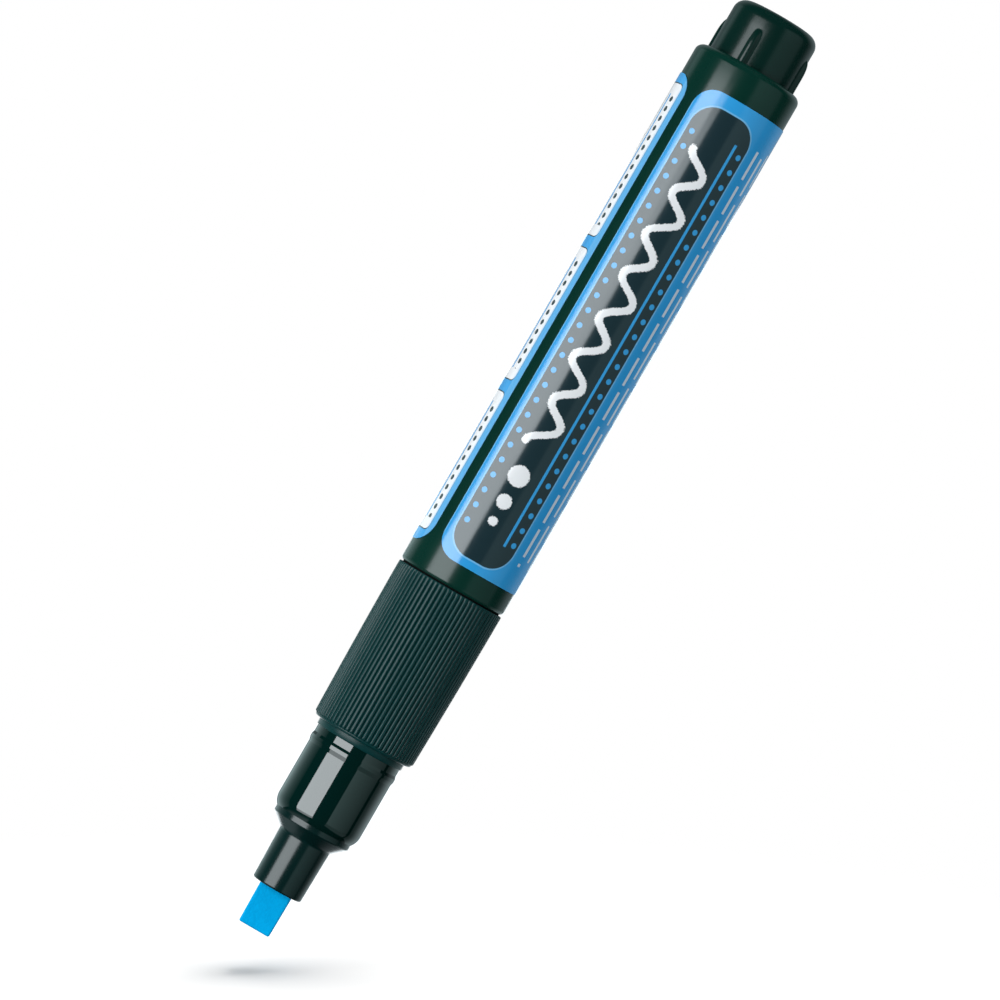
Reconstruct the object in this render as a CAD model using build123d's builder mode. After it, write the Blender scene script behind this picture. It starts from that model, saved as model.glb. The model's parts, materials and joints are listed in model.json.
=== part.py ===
from build123d import *

import os
from math import cos, pi, radians, sin, sqrt

# A liquid chalk marker with a push-button pump. It stands on its nib along the Z axis:
# the nib's tip is at the origin, the button is at the top, and -Y is the side with the main view.
# All lengths are millimetres, all angles degrees.

# Fits shared by the whole marker
fit_gap = 0.05
slide_gap = 0.1
touch_gap = 0.02
overrun = 1.0

# Nib: a felt bar with a chisel end
nib_reach = 6.15
nib_depth = 8.0
nib_width = 4.78
nib_tip_width = 4.6
nib_thickness = 3.0
nib_corner = 0.4
nib_land = 1.3
nib_bevel_height = 2.2
nib_edge_round = 0.2

# Nib holder: tube, cone and rim in front of the nose, spigot inside it
holder_mouth_radius = 3.67
holder_root_radius = 3.83
holder_tube_length = 7.65
holder_cone_length = 1.63
holder_rim_radius = 5.71
holder_rim_length = 0.81
holder_mouth_round = 0.27
holder_root_round = 0.5
holder_rim_round = 0.2
holder_spigot_length = 8.0

# Nose: glossy section that a cap slides on
nose_radius = 6.36
nose_wall = 1.5
nose_round_depth = 0.48
nose_round_length = 1.56
cap_seat_length = 8.0
bead_ramp = 0.58
bead_land = 0.52
bead_step = 0.4
bead_height = 0.14
neck_length = 1.0
shank_length = 7.7

# Grip section: lip, ribbed grip, and a spigot that plugs into the barrel
lip_radius = 6.5
lip_length = 0.92
lip_wall = 0.85
grip_length = 23.68
grip_front_radius = 7.56
grip_middle_radius = 7.77
grip_rear_radius = 7.87
grip_front_round = 0.35
rib_count = 72
rib_height = 0.2
rib_start = 0.37
rib_groove_width = 0.22
rib_groove_undercut = 0.03
seam_gap = 0.25
seam_inset = 0.5
spigot_length = 8.0
spigot_chamfer = 0.4
spigot_wall = 1.95
seal_depth = 0.94
seal_place_share = 0.55

# Barrel: the tank, with the pump chamber and a collar at its rear end
barrel_radius = 7.9
barrel_wall = 0.8
barrel_length = 80.15
barrel_front_depth = 0.25
barrel_front_length = 0.5
barrel_shoulder_round = 1.1
ledge_width = 0.15
collar_length = 2.05

# Label: a film round the barrel, with a bare strip between its two ends
label_front_margin = 3.25
label_length = 72.0
label_thickness = 0.09
label_glue = 0.01
label_strip = 1.86
label_corner = 3.2
label_strip_azimuth = 228.25

# Push button: a cup with guide ribs, a retaining flange and a post on the bellows
button_show = 8.1
button_wall = 1.0
button_roof = 1.2
button_top_round = 1.7
button_flange_thickness = 1.0
button_post_radius = 2.6
button_rib_count = 4
button_rib_azimuth = 255.0
button_rib_width = 1.1
button_rib_height = 0.58
button_rib_inset = 0.05
button_rib_full = 2.95
button_rib_fade = 1.75

# Pump: return spring, bellows, clamp ring and seat
press_travel = 3.5
return_spring_pressed = 8.4
return_spring_wire = 0.7
return_spring_turns = 5
return_spring_gap = 0.5
bellows_lip = 0.8
bellows_lip_inset = 0.35
bellows_entry = 0.8
bellows_gap = 0.4
bellows_folds = 6
bellows_fold_depth = 1.3
bellows_wall = 0.5
bellows_cap = 0.9
ring_thickness = 1.2
pump_seat_thickness = 2.8
pump_port_radius = 2.0

# Valve and feed, from the nib's tail to the tank
wick_radius = 3.05
wick_chamfer = 0.3
cage_length = 7.5
cage_wall = 0.9
cage_floor = 1.6
cage_hole_count = 6
cage_hole_radius = 0.7
cage_hole_ring = 3.2
seat_thickness = 2.5
seat_port_radius = 2.0
seat_mouth_radius = 3.2
seat_cone_length = 1.2
fin_count = 4
fin_height = 2.0
fin_width = 0.8
fin_gap = 1.2
plunger_stem_radius = 0.8
plunger_stem_clear = 0.9
plunger_head_edge = 0.8
valve_spring_wire = 0.35
valve_spring_radius = 1.9
valve_spring_turns = 4

# Mixing ball
ball_radius = 3.0

# Places along the axis, from the nib's tip to the button's top
mouth_z = nib_reach
cone_z = mouth_z + holder_tube_length
rim_z = cone_z + holder_cone_length
nose_z = rim_z + holder_rim_length
cap_seat_z = nose_z + nose_round_length
bead_z = cap_seat_z + cap_seat_length
neck_z = bead_z + bead_ramp + bead_land + bead_step
lip_z = neck_z + neck_length
grip_z = lip_z + lip_length
grip_end_z = grip_z + grip_length
barrel_z = grip_end_z + seam_gap
barrel_end_z = barrel_z + barrel_length
top_z = barrel_end_z + button_show

# Places of the feed and the valve
nib_tail_z = mouth_z + nib_depth
holder_end_z = nose_z + holder_spigot_length
shank_end_z = lip_z + shank_length
cage_top_z = shank_end_z + cage_length
shoulder_z = cage_top_z + seat_thickness
spigot_end_z = barrel_z + spigot_length
seal_z = barrel_z + seal_place_share * spigot_length

# Places of the pump, from the collar down
collar_z = barrel_end_z - collar_length
flange_top_z = collar_z - touch_gap
flange_z = flange_top_z - button_flange_thickness
ring_top_z = flange_z - press_travel - return_spring_pressed
ring_z = ring_top_z - ring_thickness
ledge_z = ring_z - bellows_lip
pump_seat_z = ledge_z - pump_seat_thickness
bellows_top_z = flange_z + bellows_entry
ball_z = shoulder_z + fin_height + touch_gap + ball_radius

# Radii of the front fits
holder_socket_radius = nose_radius - nose_wall
holder_spigot_radius = holder_socket_radius - fit_gap
wick_bore_radius = wick_radius + fit_gap
section_bore_radius = lip_radius - lip_wall
insert_radius = section_bore_radius - fit_gap

# Radii of the barrel's fits and of what slides in it
tank_radius = barrel_radius - barrel_wall
spigot_radius = tank_radius - fit_gap
throat_radius = spigot_radius - spigot_wall
seal_groove_radius = spigot_radius - seal_depth
seal_wire_radius = (tank_radius - seal_groove_radius) / 2 - touch_gap
chamber_radius = tank_radius - ledge_width
flange_radius = chamber_radius - slide_gap
button_rib_radius = flange_radius - button_rib_inset
button_radius = button_rib_radius - button_rib_height
button_bore_radius = button_radius - button_wall
return_spring_radius = chamber_radius - return_spring_gap - return_spring_wire / 2
bellows_crest_radius = button_bore_radius - bellows_gap
bellows_root_radius = bellows_crest_radius - bellows_fold_depth
bellows_lip_radius = chamber_radius - bellows_lip_inset


def radial_plane(azimuth):
    """A plane through the axis: its X runs outwards at the azimuth, its Y runs up the axis."""
    outwards = Vector(cos(radians(azimuth)), sin(radians(azimuth)), 0)
    return Plane(origin=(0, 0, 0), x_dir=outwards, z_dir=outwards.cross(Vector(0, 0, 1)))


def radial_planes(count, first_azimuth):
    """Planes through the axis at even steps all round."""
    return [radial_plane(first_azimuth + 360 * index / count) for index in range(count)]


def coil_path(radius, bottom, height, turns):
    """A helix up the axis as pairs of tangent arcs, one pair for each quarter turn."""
    quarters = 4 * turns
    rise = height / quarters

    def point(quarter):
        angle = pi / 2 * quarter
        return Vector(radius * cos(angle), radius * sin(angle), bottom + rise * quarter)

    def heading(quarter):
        angle = pi / 2 * quarter
        return Vector(-radius * sin(angle), radius * cos(angle), rise / (pi / 2)).normalized()

    with BuildLine() as coil:
        for quarter in range(quarters):
            start, start_way = point(quarter), heading(quarter)
            end, end_way = point(quarter + 1), heading(quarter + 1)
            chord = end - start
            ways = start_way + end_way
            turning = 4 - ways.dot(ways)
            along = chord.dot(ways)
            reach = (sqrt(along * along + turning * chord.dot(chord)) - along) / turning
            first_corner = start + start_way * reach
            second_corner = end - end_way * reach
            joint = (first_corner + second_corner) * 0.5
            TangentArc(start, joint, tangent=start_way)
            TangentArc(joint, end, tangent=second_corner - first_corner)
    return coil.line


def least_coil_gap(coil, wire, turns):
    """The least room between one turn of a coil and the next, measured on points along it."""
    steps_per_turn = 16
    steps = steps_per_turn * turns
    points = [coil @ (step / steps) for step in range(steps + 1)]
    far_enough = range(steps_per_turn // 2, steps + 1)
    distances = [
        (points[first + apart] - points[first]).length
        for apart in far_enough
        for first in range(steps + 1 - apart)
    ]
    return min(distances) - wire


# Nib
with BuildPart() as nib:
    with BuildSketch(Plane.XY):
        RectangleRounded(nib_tip_width, nib_thickness, nib_corner)
    with BuildSketch(Plane.XY.offset(mouth_z)):
        RectangleRounded(nib_width, nib_thickness, nib_corner)
    loft()
    with BuildSketch(Plane.XY.offset(mouth_z)):
        RectangleRounded(nib_width, nib_thickness, nib_corner)
    extrude(amount=nib_depth)
    bevel_slope = nib_bevel_height / (nib_thickness - nib_land)
    bevel_foot = -overrun * bevel_slope
    bevel_head = nib_bevel_height + overrun * bevel_slope
    with BuildSketch(Plane.YZ):
        with BuildLine():
            Polyline(
                (nib_land - nib_thickness / 2 - overrun, bevel_foot),
                (nib_thickness / 2 + overrun, bevel_head),
                (nib_thickness / 2 + overrun, bevel_foot),
                close=True,
            )
        make_face()
    extrude(amount=nib_width, both=True, mode=Mode.SUBTRACT)
    fillet(nib.faces().sort_by(Axis.Z)[0].edges(), nib_edge_round)

# Nib holder
with BuildPart() as nib_holder:
    with BuildSketch(Plane.XZ) as holder_profile:
        with BuildLine():
            Polyline(
                (0, mouth_z),
                (holder_mouth_radius, mouth_z),
                (holder_root_radius, cone_z),
                (holder_rim_radius, rim_z),
                (holder_rim_radius, nose_z),
                (holder_spigot_radius, nose_z),
                (holder_spigot_radius, holder_end_z),
                (0, holder_end_z),
                close=True,
            )
        make_face()
        corners = holder_profile.vertices()
        fillet(corners.sort_by_distance((holder_mouth_radius, mouth_z))[0], holder_mouth_round)
        corners = holder_profile.vertices()
        fillet(corners.sort_by_distance((holder_root_radius, cone_z))[0], holder_root_round)
        corners = holder_profile.vertices()
        fillet(corners.sort_by_distance((holder_rim_radius, rim_z))[0], holder_rim_round)
    revolve(axis=Axis.Z)
    with BuildSketch(Plane.XY.offset(mouth_z)):
        RectangleRounded(
            nib_width + 2 * touch_gap, nib_thickness + 2 * touch_gap, nib_corner + touch_gap
        )
    extrude(amount=nib_depth, mode=Mode.SUBTRACT)
    with BuildSketch(Plane.XY.offset(nib_tail_z)):
        Circle(wick_bore_radius)
    extrude(until=Until.LAST, mode=Mode.SUBTRACT)

# Feed wick: from the nib's tail to the floor of the valve cage
with BuildPart() as feed_wick:
    with BuildSketch(Plane.XY.offset(nib_tail_z)):
        Circle(wick_radius)
    extrude(amount=shank_end_z - nib_tail_z)
    chamfer(feed_wick.edges().filter_by(GeomType.CIRCLE), wick_chamfer)

# Nose
with BuildPart() as nose:
    with BuildSketch(Plane.XZ):
        with BuildLine():
            Line((holder_socket_radius, nose_z), (nose_radius - nose_round_depth, nose_z))
            TangentArc(
                (nose_radius, cap_seat_z),
                (nose_radius - nose_round_depth, nose_z),
                tangent=(0, -1),
            )
            Polyline(
                (nose_radius, cap_seat_z),
                (nose_radius, bead_z),
                (nose_radius + bead_height, bead_z + bead_ramp),
                (nose_radius + bead_height, neck_z - bead_step),
                (nose_radius, neck_z),
                (nose_radius, lip_z),
                (insert_radius, lip_z),
                (insert_radius, shank_end_z),
                (wick_bore_radius, shank_end_z),
                (wick_bore_radius, holder_end_z + fit_gap),
                (holder_socket_radius, holder_end_z + fit_gap),
                (holder_socket_radius, nose_z),
            )
        make_face()
    revolve(axis=Axis.Z)

# Grip section
with BuildPart() as grip_section:
    front_floor_radius = grip_front_radius - rib_height
    ribs_z = grip_z + rib_start
    groove_half_width = seal_wire_radius + fit_gap
    with BuildSketch(Plane.XZ):
        with BuildLine():
            Polyline(
                (section_bore_radius, lip_z),
                (lip_radius, lip_z),
                (lip_radius, grip_z),
                (front_floor_radius - grip_front_round, grip_z),
            )
            TangentArc(
                (front_floor_radius - grip_front_round, grip_z),
                (front_floor_radius, grip_z + grip_front_round),
                tangent=(1, 0),
            )
            Line((front_floor_radius, grip_z + grip_front_round), (front_floor_radius, ribs_z))
            TangentArc(
                (grip_front_radius, ribs_z + rib_height),
                (front_floor_radius, ribs_z),
                tangent=(0, -1),
            )
            ThreePointArc(
                (grip_front_radius, ribs_z + rib_height),
                (grip_middle_radius, (grip_z + grip_end_z) / 2),
                (grip_rear_radius, grip_end_z),
            )
            Polyline(
                (grip_rear_radius, grip_end_z),
                (barrel_radius - seam_inset, grip_end_z),
                (barrel_radius - seam_inset, barrel_z),
                (spigot_radius, barrel_z),
                (spigot_radius, seal_z - groove_half_width),
                (seal_groove_radius, seal_z - groove_half_width),
                (seal_groove_radius, seal_z + groove_half_width),
                (spigot_radius, seal_z + groove_half_width),
                (spigot_radius, spigot_end_z - spigot_chamfer),
                (spigot_radius - spigot_chamfer, spigot_end_z),
                (throat_radius, spigot_end_z),
                (throat_radius, shoulder_z),
                (section_bore_radius, shoulder_z),
                (section_bore_radius, lip_z),
            )
        make_face()
    revolve(axis=Axis.Z)
    floor_drop = rib_height + rib_groove_undercut
    with BuildSketch(*radial_planes(rib_count, 360 / rib_count / 2)):
        with BuildLine():
            ThreePointArc(
                (grip_front_radius - floor_drop, ribs_z),
                (grip_middle_radius - floor_drop, (grip_z + grip_end_z) / 2),
                (grip_rear_radius - floor_drop, grip_end_z + overrun),
            )
            Polyline(
                (grip_rear_radius - floor_drop, grip_end_z + overrun),
                (grip_rear_radius + overrun, grip_end_z + overrun),
                (grip_rear_radius + overrun, ribs_z),
                (grip_front_radius - floor_drop, ribs_z),
            )
        make_face()
    extrude(amount=rib_groove_width / 2, both=True, mode=Mode.SUBTRACT)

# O-ring between the grip section and the barrel
with BuildPart() as section_seal:
    with Locations((0, 0, seal_z)):
        Torus(seal_groove_radius + touch_gap + seal_wire_radius, seal_wire_radius)

# Barrel
with BuildPart() as barrel:
    with BuildSketch(Plane.XZ):
        with BuildLine():
            Line((tank_radius, barrel_z), (barrel_radius - barrel_front_depth, barrel_z))
            TangentArc(
                (barrel_radius, barrel_z + barrel_front_length),
                (barrel_radius - barrel_front_depth, barrel_z),
                tangent=(0, -1),
            )
            Polyline(
                (barrel_radius, barrel_z + barrel_front_length),
                (barrel_radius, barrel_end_z - barrel_shoulder_round),
            )
            TangentArc(
                (barrel_radius, barrel_end_z - barrel_shoulder_round),
                (barrel_radius - barrel_shoulder_round, barrel_end_z),
                tangent=(0, 1),
            )
            Polyline(
                (barrel_radius - barrel_shoulder_round, barrel_end_z),
                (button_radius + slide_gap, barrel_end_z),
                (button_radius + slide_gap, collar_z),
                (chamber_radius, collar_z),
                (chamber_radius, ledge_z),
                (tank_radius, ledge_z),
                (tank_radius, barrel_z),
            )
        make_face()
    revolve(axis=Axis.Z)
    with BuildSketch(*radial_planes(button_rib_count, button_rib_azimuth)):
        with BuildLine():
            Polyline(
                (button_bore_radius, collar_z - overrun),
                (button_rib_radius + slide_gap, collar_z - overrun),
                (button_rib_radius + slide_gap, barrel_end_z + overrun),
                (button_bore_radius, barrel_end_z + overrun),
                close=True,
            )
        make_face()
    extrude(amount=button_rib_width / 2 + slide_gap, both=True, mode=Mode.SUBTRACT)

# Label
with BuildPart() as label_wrap:
    label_z = barrel_z + label_front_margin
    label_inner_radius = barrel_radius + label_glue
    with BuildSketch(Plane.XY.offset(label_z)):
        Circle(label_inner_radius + label_thickness)
        Circle(label_inner_radius, mode=Mode.SUBTRACT)
    extrude(amount=label_length)
    strip_face = radial_plane(label_strip_azimuth)
    strip_plane = Plane(
        origin=(0, 0, label_z + label_length / 2), x_dir=-strip_face.z_dir, z_dir=strip_face.x_dir
    )
    corner_across = label_strip / 2 + label_corner
    corner_along = label_length / 2 - label_corner
    with BuildSketch(strip_plane):
        Rectangle(2 * corner_across, label_length + 2 * overrun)
        Rectangle(2 * corner_across, 2 * corner_along, mode=Mode.SUBTRACT)
        with Locations(
            (corner_across, corner_along),
            (-corner_across, corner_along),
            (corner_across, -corner_along),
            (-corner_across, -corner_along),
        ):
            Circle(label_corner, mode=Mode.SUBTRACT)
        Rectangle(label_strip, label_length + 2 * overrun)
    extrude(amount=barrel_radius + overrun, mode=Mode.SUBTRACT)

# Push button
with BuildPart() as push_button:
    roof_z = top_z - button_roof
    with BuildSketch(Plane.XZ) as button_profile:
        with BuildLine():
            Polyline(
                (0, top_z),
                (button_radius, top_z),
                (button_radius, flange_top_z),
                (flange_radius, flange_top_z),
                (flange_radius, flange_z),
                (button_bore_radius, flange_z),
                (button_bore_radius, roof_z),
                (button_post_radius, roof_z),
                (button_post_radius, bellows_top_z + touch_gap),
                (0, bellows_top_z + touch_gap),
                close=True,
            )
        make_face()
        corners = button_profile.vertices()
        fillet(corners.sort_by_distance((button_radius, top_z))[0], button_top_round)
    revolve(axis=Axis.Z)
    rib_root_radius = button_radius - button_wall / 2
    rib_full_z = barrel_end_z + button_rib_full
    rib_end_z = rib_full_z + button_rib_fade
    with BuildSketch(*radial_planes(button_rib_count, button_rib_azimuth)):
        with BuildLine():
            Polyline(
                (rib_root_radius, flange_top_z),
                (button_rib_radius, flange_top_z),
                (button_rib_radius, rib_full_z),
                (button_radius, rib_end_z),
                (rib_root_radius, rib_end_z),
                close=True,
            )
        make_face()
    extrude(amount=button_rib_width / 2, both=True)

# Return spring, between the clamp ring and the button's flange
return_coil = coil_path(
    return_spring_radius,
    ring_top_z + return_spring_wire / 2,
    flange_z - ring_top_z - return_spring_wire,
    return_spring_turns,
)
with BuildPart() as return_spring:
    with BuildSketch(Plane(origin=return_coil @ 0, z_dir=return_coil % 0)):
        Circle(return_spring_wire / 2)
    sweep(path=return_coil)
return_coil_gap = least_coil_gap(return_coil, return_spring_wire, return_spring_turns)
print(f"return spring: least gap between turns {return_coil_gap:.2f} mm")

# Bellows, closed at the top, with a lip clamped on the pump seat
with BuildPart() as pump_bellows:
    fold_z = ledge_z + bellows_lip
    cap_z = bellows_top_z - bellows_cap
    fold_pitch = (cap_z - fold_z) / bellows_folds
    folds = [(bellows_root_radius, fold_z)]
    for fold in range(bellows_folds):
        folds.append((bellows_crest_radius, fold_z + fold_pitch * (fold + 0.5)))
        folds.append((bellows_root_radius, fold_z + fold_pitch * (fold + 1)))
    inside_folds = [(radius - bellows_wall, z) for radius, z in reversed(folds)]
    with BuildSketch(Plane.XZ):
        with BuildLine():
            Polyline(
                (bellows_root_radius - bellows_wall, ledge_z),
                (bellows_lip_radius, ledge_z),
                (bellows_lip_radius, fold_z),
                *folds,
                (bellows_root_radius, bellows_top_z),
                (0, bellows_top_z),
                (0, cap_z),
                *inside_folds,
                close=True,
            )
        make_face()
    revolve(axis=Axis.Z)

# Clamp ring on the bellows' lip
with BuildPart() as bellows_ring:
    with BuildSketch(Plane.XY.offset(ring_z)):
        Circle(chamber_radius - fit_gap)
        Circle(bellows_crest_radius + slide_gap, mode=Mode.SUBTRACT)
    extrude(amount=ring_thickness)

# Pump seat: plugs the tank under the ledge, open through its port
with BuildPart() as pump_seat:
    with BuildSketch(Plane.XY.offset(pump_seat_z)):
        Circle(tank_radius - fit_gap)
        Circle(pump_port_radius, mode=Mode.SUBTRACT)
    extrude(amount=pump_seat_thickness)

# Mixing ball, resting on the fins of the valve seat
with BuildPart() as mixing_ball:
    with Locations((0, 0, ball_z)):
        Sphere(ball_radius)

# Valve cage: a cup with ink holes and a guide for the plunger's stem
with BuildPart() as valve_cage:
    cage_floor_z = shank_end_z + cage_floor
    with BuildSketch(Plane.XY.offset(shank_end_z)):
        Circle(insert_radius)
        Circle(plunger_stem_radius + slide_gap, mode=Mode.SUBTRACT)
        with PolarLocations(cage_hole_ring, cage_hole_count):
            Circle(cage_hole_radius, mode=Mode.SUBTRACT)
    extrude(amount=cage_floor)
    with BuildSketch(Plane.XY.offset(cage_floor_z)):
        Circle(insert_radius)
        Circle(insert_radius - cage_wall, mode=Mode.SUBTRACT)
    extrude(amount=cage_length - cage_floor)

# Valve seat: a plate with a coned port, and fins that keep the ball off it
with BuildPart() as valve_seat:
    with BuildSketch(Plane.XZ):
        with BuildLine():
            Polyline(
                (seat_mouth_radius, cage_top_z),
                (insert_radius, cage_top_z),
                (insert_radius, shoulder_z),
                (seat_port_radius, shoulder_z),
                (seat_port_radius, cage_top_z + seat_cone_length),
                close=True,
            )
        make_face()
    revolve(axis=Axis.Z)
    fin_length = throat_radius - fin_gap - seat_port_radius
    with BuildSketch(Plane.XY.offset(shoulder_z)):
        with PolarLocations(seat_port_radius + fin_length / 2, fin_count):
            Rectangle(fin_length, fin_width)
    extrude(amount=fin_height)

# Valve plunger: coned head under the seat, stem in the cage's guide
with BuildPart() as valve_plunger:
    head_radius = seat_mouth_radius - slide_gap
    head_tip_radius = seat_port_radius - slide_gap
    head_foot_z = cage_top_z - plunger_head_edge
    stem_end_z = shank_end_z + plunger_stem_clear
    with BuildSketch(Plane.XZ):
        with BuildLine():
            Polyline(
                (0, stem_end_z),
                (plunger_stem_radius, stem_end_z),
                (plunger_stem_radius, head_foot_z),
                (head_radius, head_foot_z),
                (head_radius, cage_top_z - touch_gap),
                (head_tip_radius, cage_top_z + seat_cone_length - touch_gap),
                (0, cage_top_z + seat_cone_length - touch_gap),
                close=True,
            )
        make_face()
    revolve(axis=Axis.Z)

# Valve spring, between the cage's floor and the plunger's head
valve_coil = coil_path(
    valve_spring_radius,
    cage_floor_z + valve_spring_wire / 2,
    head_foot_z - cage_floor_z - valve_spring_wire,
    valve_spring_turns,
)
with BuildPart() as valve_spring:
    with BuildSketch(Plane(origin=valve_coil @ 0, z_dir=valve_coil % 0)):
        Circle(valve_spring_wire / 2)
    sweep(path=valve_coil)
valve_coil_gap = least_coil_gap(valve_coil, valve_spring_wire, valve_spring_turns)
print(f"valve spring: least gap between turns {valve_coil_gap:.2f} mm")

# Hand-over: one file for each piece
pieces = {
    "nib": nib,
    "nib_holder": nib_holder,
    "feed_wick": feed_wick,
    "nose": nose,
    "grip_section": grip_section,
    "section_seal": section_seal,
    "barrel": barrel,
    "label_wrap": label_wrap,
    "push_button": push_button,
    "return_spring": return_spring,
    "pump_bellows": pump_bellows,
    "bellows_ring": bellows_ring,
    "pump_seat": pump_seat,
    "mixing_ball": mixing_ball,
    "valve_cage": valve_cage,
    "valve_seat": valve_seat,
    "valve_plunger": valve_plunger,
    "valve_spring": valve_spring,
}
os.makedirs("parts", exist_ok=True)
for name, piece in pieces.items():
    piece.part.label = name
    export_step(piece.part, f"parts/{name}.step")
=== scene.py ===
import json
import math

import bmesh
import bpy
from mathutils import Matrix, Vector


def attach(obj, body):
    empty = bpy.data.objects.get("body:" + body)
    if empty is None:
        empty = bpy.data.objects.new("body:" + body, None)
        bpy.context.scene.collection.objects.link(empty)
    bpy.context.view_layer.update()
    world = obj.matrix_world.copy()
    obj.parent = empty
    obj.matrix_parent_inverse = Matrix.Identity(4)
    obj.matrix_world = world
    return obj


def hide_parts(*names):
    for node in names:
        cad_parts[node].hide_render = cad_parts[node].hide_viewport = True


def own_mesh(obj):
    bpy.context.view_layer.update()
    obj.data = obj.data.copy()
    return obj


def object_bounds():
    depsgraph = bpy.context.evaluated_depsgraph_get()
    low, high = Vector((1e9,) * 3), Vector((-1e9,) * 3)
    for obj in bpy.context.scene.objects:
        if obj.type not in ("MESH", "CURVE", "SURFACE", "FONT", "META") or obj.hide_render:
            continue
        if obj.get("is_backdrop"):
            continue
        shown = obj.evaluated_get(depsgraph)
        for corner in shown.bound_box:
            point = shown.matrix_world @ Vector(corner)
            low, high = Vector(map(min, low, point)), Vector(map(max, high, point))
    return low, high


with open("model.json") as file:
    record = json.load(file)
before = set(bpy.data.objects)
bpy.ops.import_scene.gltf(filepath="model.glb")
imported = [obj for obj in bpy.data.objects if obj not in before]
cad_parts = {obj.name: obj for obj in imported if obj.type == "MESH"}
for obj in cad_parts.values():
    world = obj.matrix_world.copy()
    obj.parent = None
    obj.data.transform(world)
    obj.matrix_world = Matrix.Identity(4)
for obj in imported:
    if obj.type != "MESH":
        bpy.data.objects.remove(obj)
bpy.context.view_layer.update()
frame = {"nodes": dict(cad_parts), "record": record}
nodes = frame["nodes"]

MM = 0.001

# Modelling tools: places and sizes are in millimetres, as in the CAD, and angles in degrees
MERGE_GAP = 0.001
RING_SLACK, COLUMN_SLACK = 0.01, 0.1


def pick(test):
    """Selects the vertices of the mesh in edit mode whose radius, azimuth and height pass the test."""
    bpy.ops.mesh.select_mode(type="VERT")
    bpy.ops.mesh.select_all(action="DESELECT")
    mesh = bmesh.from_edit_mesh(bpy.context.edit_object.data)
    for vertex in mesh.verts:
        x, y, z = vertex.co / MM
        vertex.select_set(test(math.hypot(x, y), math.degrees(math.atan2(y, x)) % 360, z))
    mesh.select_flush_mode()
    bmesh.update_edit_mesh(bpy.context.edit_object.data)


def spread(ratio):
    """Moves what is selected in edit mode out from the axis, or in towards it."""
    bpy.ops.transform.resize(value=(ratio, ratio, 1), center_override=(0, 0, 0))


def open_piece(name, add, **settings):
    """Adds a primitive on its own, puts its place into its mesh and goes into edit mode."""
    bpy.ops.object.select_all(action="DESELECT")
    add(**settings)
    piece = bpy.context.object
    piece.name = name
    bpy.ops.object.transform_apply(location=True, rotation=True, scale=True)
    bpy.ops.object.mode_set(mode="EDIT")
    return piece


def close_piece(crease):
    """Merges doubles, points the faces outwards, leaves edit mode and smooths up to the crease angle."""
    bpy.ops.mesh.select_all(action="SELECT")
    bpy.ops.mesh.remove_doubles(threshold=MERGE_GAP * MM)
    bpy.ops.mesh.normals_make_consistent(inside=False)
    bpy.ops.object.mode_set(mode="OBJECT")
    bpy.ops.object.shade_smooth_by_angle(angle=math.radians(crease))


def turn(name, columns, rings, filled):
    """A turned piece: a circle, extruded ring by ring along a profile of radius and height.
    A filled one starts with a flat end and is closed at its other end."""
    radius, height = rings[0]
    piece = open_piece(
        name,
        bpy.ops.mesh.primitive_circle_add,
        vertices=columns,
        radius=radius * MM,
        fill_type="TRIFAN" if filled else "NOTHING",
        location=(0, 0, height * MM),
    )
    pick(lambda at_radius, azimuth, z: at_radius > radius / 2)
    for next_radius, next_height in rings[1:]:
        rise = (0, 0, (next_height - height) * MM)
        bpy.ops.mesh.extrude_edges_move(TRANSFORM_OT_translate={"value": rise})
        spread(next_radius / radius)
        radius, height = next_radius, next_height
    if filled:
        bpy.ops.mesh.extrude_edges_move(TRANSFORM_OT_translate={"value": (0, 0, 0)})
        bpy.ops.mesh.merge(type="CENTER")
    return piece


def apply_modifier(piece, kind, **settings):
    """Gives a piece a modifier with these settings and applies it."""
    modifier = piece.modifiers.new(kind.lower(), kind)
    for name, value in settings.items():
        setattr(modifier, name, value)
    bpy.context.view_layer.objects.active = piece
    bpy.ops.object.modifier_apply(modifier=modifier.name)


def rounding(centre_radius, centre_height, size, first, last, steps):
    """Rings round a corner, from the first to the last angle, 0 being straight up."""
    angles = [math.radians(first + (last - first) * step / steps) for step in range(steps + 1)]
    return [(centre_radius + size * math.sin(a), centre_height + size * math.cos(a)) for a in angles]


# Grip section, which starts at the end of the nose: a neck, a ribbed sleeve and a spigot in the barrel
NOSE_END = 28.3
NECK_RADIUS, NECK_CHAMFER, NECK_BORE = 6.5, 0.08, 5.65
GRIP_FRONT, GRIP_END = 29.22, 52.9
RIM_RADIUS, RIM_ROUND = 7.36, 0.35
SWELL_START, SWELL_RADIUS, SWELL_RISE, SWELL_SAG = 29.79, 7.56, 0.53, 0.22
SHOULDER_RADIUS, SHOULDER_END = 7.4, 53.15
SPIGOT_RADIUS, SPIGOT_END, SPIGOT_CHAMFER = 7.05, 61.15, 0.4
SEAL_GROOVE_RADIUS, SEAL_GROOVE_LOW, SEAL_GROOVE_HIGH = 6.11, 57.02, 58.08
THROAT_RADIUS, THROAT_START = 5.1, 46

# Ribs: broad crests and narrow grooves, which are shallower in the ribs' end caps beside the barrel
GRIP_RIBS = 72
RIB_PITCH = 360 / GRIP_RIBS
RIB_COLUMNS = 8
RIB_DEPTH, RIB_CAP_DEPTH = 0.28, 0.13
RIBS_LEAST_RADIUS = 7.3
RIBS_FULL, RIBS_FULL_END = 29.92, 52.3
RIB_RINGS = (RIBS_FULL, 31.5, 34, 37, 40, 43, 46, 49, 51.5, RIBS_FULL_END)
# Depth from the bottom of a groove outwards, column by column, as shares of the whole depth
GROOVE_SHARES = (1.0, 0.5, 0.07)
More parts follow.
